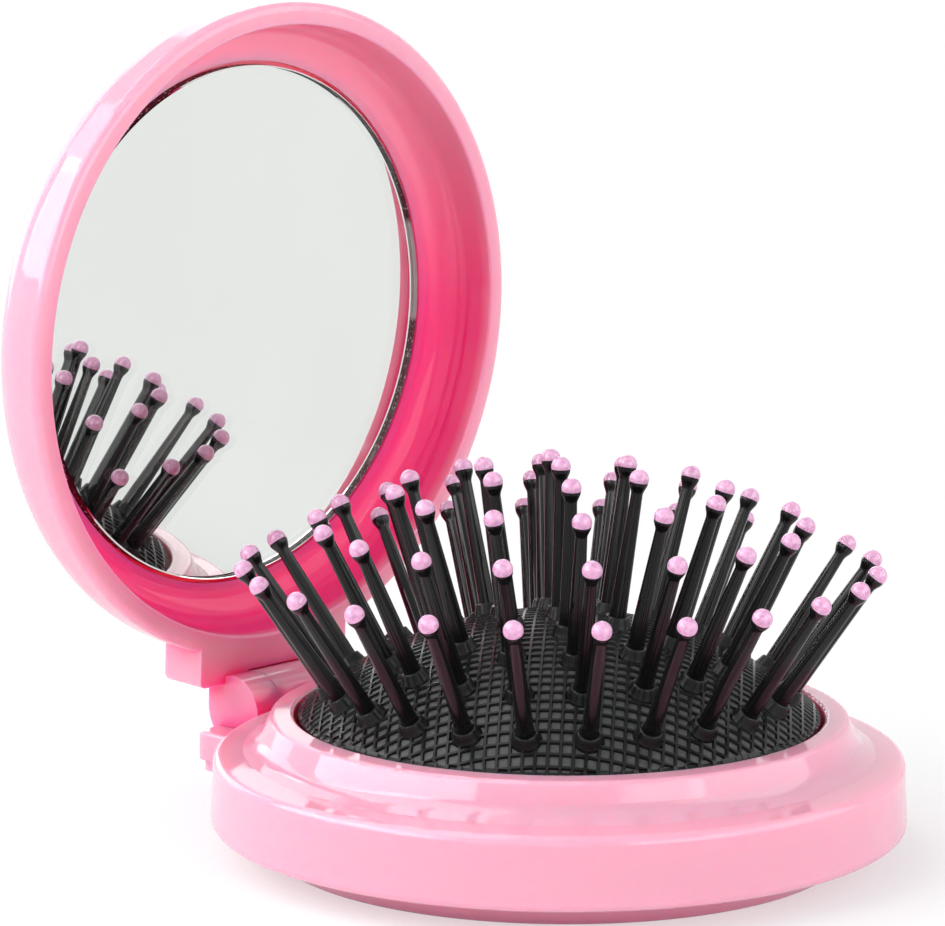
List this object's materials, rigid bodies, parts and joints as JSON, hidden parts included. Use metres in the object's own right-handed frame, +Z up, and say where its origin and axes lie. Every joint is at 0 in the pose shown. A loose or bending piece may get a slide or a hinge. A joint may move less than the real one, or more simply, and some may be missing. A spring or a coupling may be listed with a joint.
{
  "type": "folding pop-up hairbrush with mirror",
  "caption": "Round pocket hairbrush whose ball-tipped bristles pop out of a rubber cushion, with a hinged lid that carries a round mirror inside",
  "frame": {"origin": "centre of the ring that the brush case stands on, in the plane of its lower face", "axes": "+Z up through the cushion; the lid's hinge runs along Y on the -X side, and the open lid stands up there with its mirror facing +X"},
  "size_m": [0.0801, 0.0666, 0.0789],
  "materials": {
    "case_plastic": "glossy moulded ABS, light pink",
    "lid_plastic": "glossy moulded ABS, light pink",
    "cushion_rubber": "black moulded rubber, matt and finely ribbed in front, smooth behind",
    "bristle_nylon": "black moulded nylon with a satin face; the balls carry a lilac coat",
    "mirror_glass": "clear, with a bevelled edge",
    "mirror_silver": "silvered back of the glass",
    "pin_steel": "drawn wire",
    "adhesive": "thin double-sided pad"
  },
  "bodies": {
    "brush_case": {"front_case": "case_plastic", "back_case": "case_plastic", "cushion_pad": "cushion_rubber", "hinge_pin": "pin_steel"},
    "mirror_lid": {"lid_shell": "lid_plastic", "mirror_glass": "mirror_glass", "mirror_backing": "mirror_silver", "mirror_adhesive": "adhesive"},
    "bristle_middle": {"bristle_middle": "bristle_nylon"},
    "bristles_ring1_01": {"bristles_ring1_01": "bristle_nylon"},
    "bristles_ring1_02": {"bristles_ring1_02": "bristle_nylon"},
    "bristles_ring1_03": {"bristles_ring1_03": "bristle_nylon"},
    "bristles_ring1_04": {"bristles_ring1_04": "bristle_nylon"},
    "bristles_ring1_05": {"bristles_ring1_05": "bristle_nylon"},
    "bristles_ring1_06": {"bristles_ring1_06": "bristle_nylon"},
    "bristles_ring2_01": {"bristles_ring2_01": "bristle_nylon"},
    "bristles_ring2_02": {"bristles_ring2_02": "bristle_nylon"},
    "bristles_ring2_03": {"bristles_ring2_03": "bristle_nylon"},
    "bristles_ring2_04": {"bristles_ring2_04": "bristle_nylon"},
    "bristles_ring2_05": {"bristles_ring2_05": "bristle_nylon"},
    "bristles_ring2_06": {"bristles_ring2_06": "bristle_nylon"},
    "bristles_ring3_01": {"bristles_ring3_01": "bristle_nylon"},
    "bristles_ring3_02": {"bristles_ring3_02": "bristle_nylon"},
    "bristles_ring3_03": {"bristles_ring3_03": "bristle_nylon"},
    "bristles_ring3_04": {"bristles_ring3_04": "bristle_nylon"},
    "bristles_ring3_05": {"bristles_ring3_05": "bristle_nylon"},
    "bristles_ring3_06": {"bristles_ring3_06": "bristle_nylon"},
    "bristles_ring3_07": {"bristles_ring3_07": "bristle_nylon"},
    "bristles_ring3_08": {"bristles_ring3_08": "bristle_nylon"},
    "bristles_ring3_09": {"bristles_ring3_09": "bristle_nylon"},
    "bristles_ring4_01": {"bristles_ring4_01": "bristle_nylon"},
    "bristles_ring4_02": {"bristles_ring4_02": "bristle_nylon"},
    "bristles_ring4_03": {"bristles_ring4_03": "bristle_nylon"},
    "bristles_ring4_04": {"bristles_ring4_04": "bristle_nylon"},
    "bristles_ring4_05": {"bristles_ring4_05": "bristle_nylon"},
    "bristles_ring4_06": {"bristles_ring4_06": "bristle_nylon"},
    "bristles_ring4_07": {"bristles_ring4_07": "bristle_nylon"},
    "bristles_ring4_08": {"bristles_ring4_08": "bristle_nylon"},
    "bristles_ring4_09": {"bristles_ring4_09": "bristle_nylon"},
    "bristles_ring4_10": {"bristles_ring4_10": "bristle_nylon"},
    "bristles_ring4_11": {"bristles_ring4_11": "bristle_nylon"},
    "bristles_ring4_12": {"bristles_ring4_12": "bristle_nylon"}
  },
  "joints": [
    {"name": "lid_hinge", "type": "hinge", "parent": "brush_case", "child": "mirror_lid", "pos_m": [-0.03744, 0, 0.00849], "axis": [0, 1, 0], "range_deg": [0, 87.6]},
    {"name": "bristle_middle_pop", "type": "slide", "parent": "brush_case", "child": "bristle_middle", "axis": [0, 0, -1], "range_m": [0, 0.0314], "deforming": ["cushion_pad"]},
    {"name": "bristles_ring1_01_pop", "type": "hinge", "parent": "brush_case", "child": "bristles_ring1_01", "pos_m": [0.12601, 0.04241, 0.00663], "axis": [0.319, -0.9478, 0], "range_deg": [0, 13.75]},
    {"name": "bristles_ring1_02_pop", "type": "hinge", "parent": "brush_case", "child": "bristles_ring1_02", "pos_m": [0.02628, 0.13033, 0.00663], "axis": [0.9803, -0.1977, 0], "range_deg": [0, 13.75]},
    {"name": "bristles_ring1_03_pop", "type": "hinge", "parent": "brush_case", "child": "bristles_ring1_03", "pos_m": [-0.09973, 0.08792, 0.00663], "axis": [0.6613, 0.7501, 0], "range_deg": [0, 13.75]},
    {"name": "bristles_ring1_04_pop", "type": "hinge", "parent": "brush_case", "child": "bristles_ring1_04", "pos_m": [-0.12601, -0.04241, 0.00663], "axis": [-0.319, 0.9478, 0], "range_deg": [0, 13.75]},
    {"name": "bristles_ring1_05_pop", "type": "hinge", "parent": "brush_case", "child": "bristles_ring1_05", "pos_m": [-0.02628, -0.13033, 0.00663], "axis": [-0.9803, 0.1977, 0], "range_deg": [0, 13.75]},
    {"name": "bristles_ring1_06_pop", "type": "hinge", "parent": "brush_case", "child": "bristles_ring1_06", "pos_m": [0.09973, -0.08792, 0.00663], "axis": [-0.6613, -0.7501, 0], "range_deg": [0, 13.75]},
    {"name": "bristles_ring2_01_pop", "type": "hinge", "parent": "brush_case", "child": "bristles_ring2_01", "pos_m": [0.07019, 0.04664, 0.00608], "axis": [0.5534, -0.8329, 0], "range_deg": [0, 22.49]},
    {"name": "bristles_ring2_02_pop", "type": "hinge", "parent": "brush_case", "child": "bristles_ring2_02", "pos_m": [-0.00529, 0.08411, 0.00608], "axis": [0.998, 0.0628, 0], "range_deg": [0, 22.49]},
    {"name": "bristles_ring2_03_pop", "type": "hinge", "parent": "brush_case", "child": "bristles_ring2_03", "pos_m": [-0.07548, 0.03747, 0.00608], "axis": [0.4446, 0.8957, 0], "range_deg": [0, 22.49]},
    {"name": "bristles_ring2_04_pop", "type": "hinge", "parent": "brush_case", "child": "bristles_ring2_04", "pos_m": [-0.07019, -0.04664, 0.00608], "axis": [-0.5534, 0.8329, 0], "range_deg": [0, 22.49]},
    {"name": "bristles_ring2_05_pop", "type": "hinge", "parent": "brush_case", "child": "bristles_ring2_05", "pos_m": [0.00529, -0.08411, 0.00608], "axis": [-0.998, -0.0628, 0], "range_deg": [0, 22.49]},
    {"name": "bristles_ring2_06_pop", "type": "hinge", "parent": "brush_case", "child": "bristles_ring2_06", "pos_m": [0.07548, -0.03747, 0.00608], "axis": [-0.4446, -0.8957, 0], "range_deg": [0, 22.49]},
    {"name": "bristles_ring3_01_pop", "type": "hinge", "parent": "brush_case", "child": "bristles_ring3_01", "pos_m": [0.05163, 0.02815, 0.00587], "axis": [0.4787, -0.878, 0], "range_deg": [0, 33.24]},
    {"name": "bristles_ring3_02_pop", "type": "hinge", "parent": "brush_case", "child": "bristles_ring3_02", "pos_m": [0.02146, 0.05475, 0.00587], "axis": [0.9311, -0.3649, 0], "range_deg": [0, 33.24]},
    {"name": "bristles_ring3_03_pop", "type": "hinge", "parent": "brush_case", "child": "bristles_ring3_03", "pos_m": [-0.01876, 0.05573, 0.00587], "axis": [0.9478, 0.319, 0], "range_deg": [0, 33.24]},
    {"name": "bristles_ring3_04_pop", "type": "hinge", "parent": "brush_case", "child": "bristles_ring3_04", "pos_m": [-0.05019, 0.03064, 0.00587], "axis": [0.521, 0.8536, 0], "range_deg": [0, 33.24]},
    {"name": "bristles_ring3_05_pop", "type": "hinge", "parent": "brush_case", "child": "bristles_ring3_05", "pos_m": [-0.05814, -0.00879, 0.00587], "axis": [-0.1495, 0.9888, 0], "range_deg": [0, 33.24]},
    {"name": "bristles_ring3_06_pop", "type": "hinge", "parent": "brush_case", "child": "bristles_ring3_06", "pos_m": [-0.03889, -0.04411, 0.00587], "axis": [-0.7501, 0.6613, 0], "range_deg": [0, 33.24]},
    {"name": "bristles_ring3_07_pop", "type": "hinge", "parent": "brush_case", "child": "bristles_ring3_07", "pos_m": [-0.00144, -0.05878, 0.00587], "axis": [-0.9997, 0.0244, 0], "range_deg": [0, 33.24]},
    {"name": "bristles_ring3_08_pop", "type": "hinge", "parent": "brush_case", "child": "bristles_ring3_08", "pos_m": [0.03668, -0.04595, 0.00587], "axis": [-0.7815, -0.6239, 0], "range_deg": [0, 33.24]},
    {"name": "bristles_ring3_09_pop", "type": "hinge", "parent": "brush_case", "child": "bristles_ring3_09", "pos_m": [0.05764, -0.01162, 0.00587], "axis": [-0.1977, -0.9803, 0], "range_deg": [0, 33.24]},
    {"name": "bristles_ring4_01_pop", "type": "hinge", "parent": "brush_case", "child": "bristles_ring4_01", "pos_m": [0.04008, 0.01964, 0.00646], "axis": [0.4399, -0.898, 0], "range_deg": [0, 42.98]},
    {"name": "bristles_ring4_02_pop", "type": "hinge", "parent": "brush_case", "child": "bristles_ring4_02", "pos_m": [0.02489, 0.03705, 0.00646], "axis": [0.83, -0.5577, 0], "range_deg": [0, 42.98]},
    {"name": "bristles_ring4_03_pop", "type": "hinge", "parent": "brush_case", "child": "bristles_ring4_03", "pos_m": [0.00304, 0.04453, 0.00646], "axis": [0.9977, -0.068, 0], "range_deg": [0, 42.98]},
    {"name": "bristles_ring4_04_pop", "type": "hinge", "parent": "brush_case", "child": "bristles_ring4_04", "pos_m": [-0.01964, 0.04008, 0.00646], "axis": [0.898, 0.4399, 0], "range_deg": [0, 42.98]},
    {"name": "bristles_ring4_05_pop", "type": "hinge", "parent": "brush_case", "child": "bristles_ring4_05", "pos_m": [-0.03705, 0.02489, 0.00646], "axis": [0.5577, 0.83, 0], "range_deg": [0, 42.98]},
    {"name": "bristles_ring4_06_pop", "type": "hinge", "parent": "brush_case", "child": "bristles_ring4_06", "pos_m": [-0.04453, 0.00304, 0.00646], "axis": [0.068, 0.9977, 0], "range_deg": [0, 42.98]},
    {"name": "bristles_ring4_07_pop", "type": "hinge", "parent": "brush_case", "child": "bristles_ring4_07", "pos_m": [-0.04008, -0.01964, 0.00646], "axis": [-0.4399, 0.898, 0], "range_deg": [0, 42.98]},
    {"name": "bristles_ring4_08_pop", "type": "hinge", "parent": "brush_case", "child": "bristles_ring4_08", "pos_m": [-0.02489, -0.03705, 0.00646], "axis": [-0.83, 0.5577, 0], "range_deg": [0, 42.98]},
    {"name": "bristles_ring4_09_pop", "type": "hinge", "parent": "brush_case", "child": "bristles_ring4_09", "pos_m": [-0.00304, -0.04453, 0.00646], "axis": [-0.9977, 0.068, 0], "range_deg": [0, 42.98]},
    {"name": "bristles_ring4_10_pop", "type": "hinge", "parent": "brush_case", "child": "bristles_ring4_10", "pos_m": [0.01964, -0.04008, 0.00646], "axis": [-0.898, -0.4399, 0], "range_deg": [0, 42.98]},
    {"name": "bristles_ring4_11_pop", "type": "hinge", "parent": "brush_case", "child": "bristles_ring4_11", "pos_m": [0.03705, -0.02489, 0.00646], "axis": [-0.5577, -0.83, 0], "range_deg": [0, 42.98]},
    {"name": "bristles_ring4_12_pop", "type": "hinge", "parent": "brush_case", "child": "bristles_ring4_12", "pos_m": [0.04453, -0.00304, 0.00646], "axis": [-0.068, -0.9977, 0], "range_deg": [0, 42.98]}
  ],
  "couplings": [
    {"joint": "bristle_middle_pop", "follows": "lid_hinge", "m_per_rad": 0.020537},
    {"joint": "bristles_ring1_01_pop", "follows": "lid_hinge", "ratio": 0.15692},
    {"joint": "bristles_ring1_02_pop", "follows": "lid_hinge", "ratio": 0.15692},
    {"joint": "bristles_ring1_03_pop", "follows": "lid_hinge", "ratio": 0.15692},
    {"joint": "bristles_ring1_04_pop", "follows": "lid_hinge", "ratio": 0.15692},
    {"joint": "bristles_ring1_05_pop", "follows": "lid_hinge", "ratio": 0.15692},
    {"joint": "bristles_ring1_06_pop", "follows": "lid_hinge", "ratio": 0.15692},
    {"joint": "bristles_ring2_01_pop", "follows": "lid_hinge", "ratio": 0.25676},
    {"joint": "bristles_ring2_02_pop", "follows": "lid_hinge", "ratio": 0.25676},
    {"joint": "bristles_ring2_03_pop", "follows": "lid_hinge", "ratio": 0.25676},
    {"joint": "bristles_ring2_04_pop", "follows": "lid_hinge", "ratio": 0.25676},
    {"joint": "bristles_ring2_05_pop", "follows": "lid_hinge", "ratio": 0.25676},
    {"joint": "bristles_ring2_06_pop", "follows": "lid_hinge", "ratio": 0.25676},
    {"joint": "bristles_ring3_01_pop", "follows": "lid_hinge", "ratio": 0.37944},
    {"joint": "bristles_ring3_02_pop", "follows": "lid_hinge", "ratio": 0.37944},
    {"joint": "bristles_ring3_03_pop", "follows": "lid_hinge", "ratio": 0.37944},
    {"joint": "bristles_ring3_04_pop", "follows": "lid_hinge", "ratio": 0.37944},
    {"joint": "bristles_ring3_05_pop", "follows": "lid_hinge", "ratio": 0.37944},
    {"joint": "bristles_ring3_06_pop", "follows": "lid_hinge", "ratio": 0.37944},
    {"joint": "bristles_ring3_07_pop", "follows": "lid_hinge", "ratio": 0.37944},
    {"joint": "bristles_ring3_08_pop", "follows": "lid_hinge", "ratio": 0.37944},
    {"joint": "bristles_ring3_09_pop", "follows": "lid_hinge", "ratio": 0.37944},
    {"joint": "bristles_ring4_01_pop", "follows": "lid_hinge", "ratio": 0.49069},
    {"joint": "bristles_ring4_02_pop", "follows": "lid_hinge", "ratio": 0.49069},
    {"joint": "bristles_ring4_03_pop", "follows": "lid_hinge", "ratio": 0.49069},
    {"joint": "bristles_ring4_04_pop", "follows": "lid_hinge", "ratio": 0.49069},
    {"joint": "bristles_ring4_05_pop", "follows": "lid_hinge", "ratio": 0.49069},
    {"joint": "bristles_ring4_06_pop", "follows": "lid_hinge", "ratio": 0.49069},
    {"joint": "bristles_ring4_07_pop", "follows": "lid_hinge", "ratio": 0.49069},
    {"joint": "bristles_ring4_08_pop", "follows": "lid_hinge", "ratio": 0.49069},
    {"joint": "bristles_ring4_09_pop", "follows": "lid_hinge", "ratio": 0.49069},
    {"joint": "bristles_ring4_10_pop", "follows": "lid_hinge", "ratio": 0.49069},
    {"joint": "bristles_ring4_11_pop", "follows": "lid_hinge", "ratio": 0.49069},
    {"joint": "bristles_ring4_12_pop", "follows": "lid_hinge", "ratio": 0.49069}
  ]
}
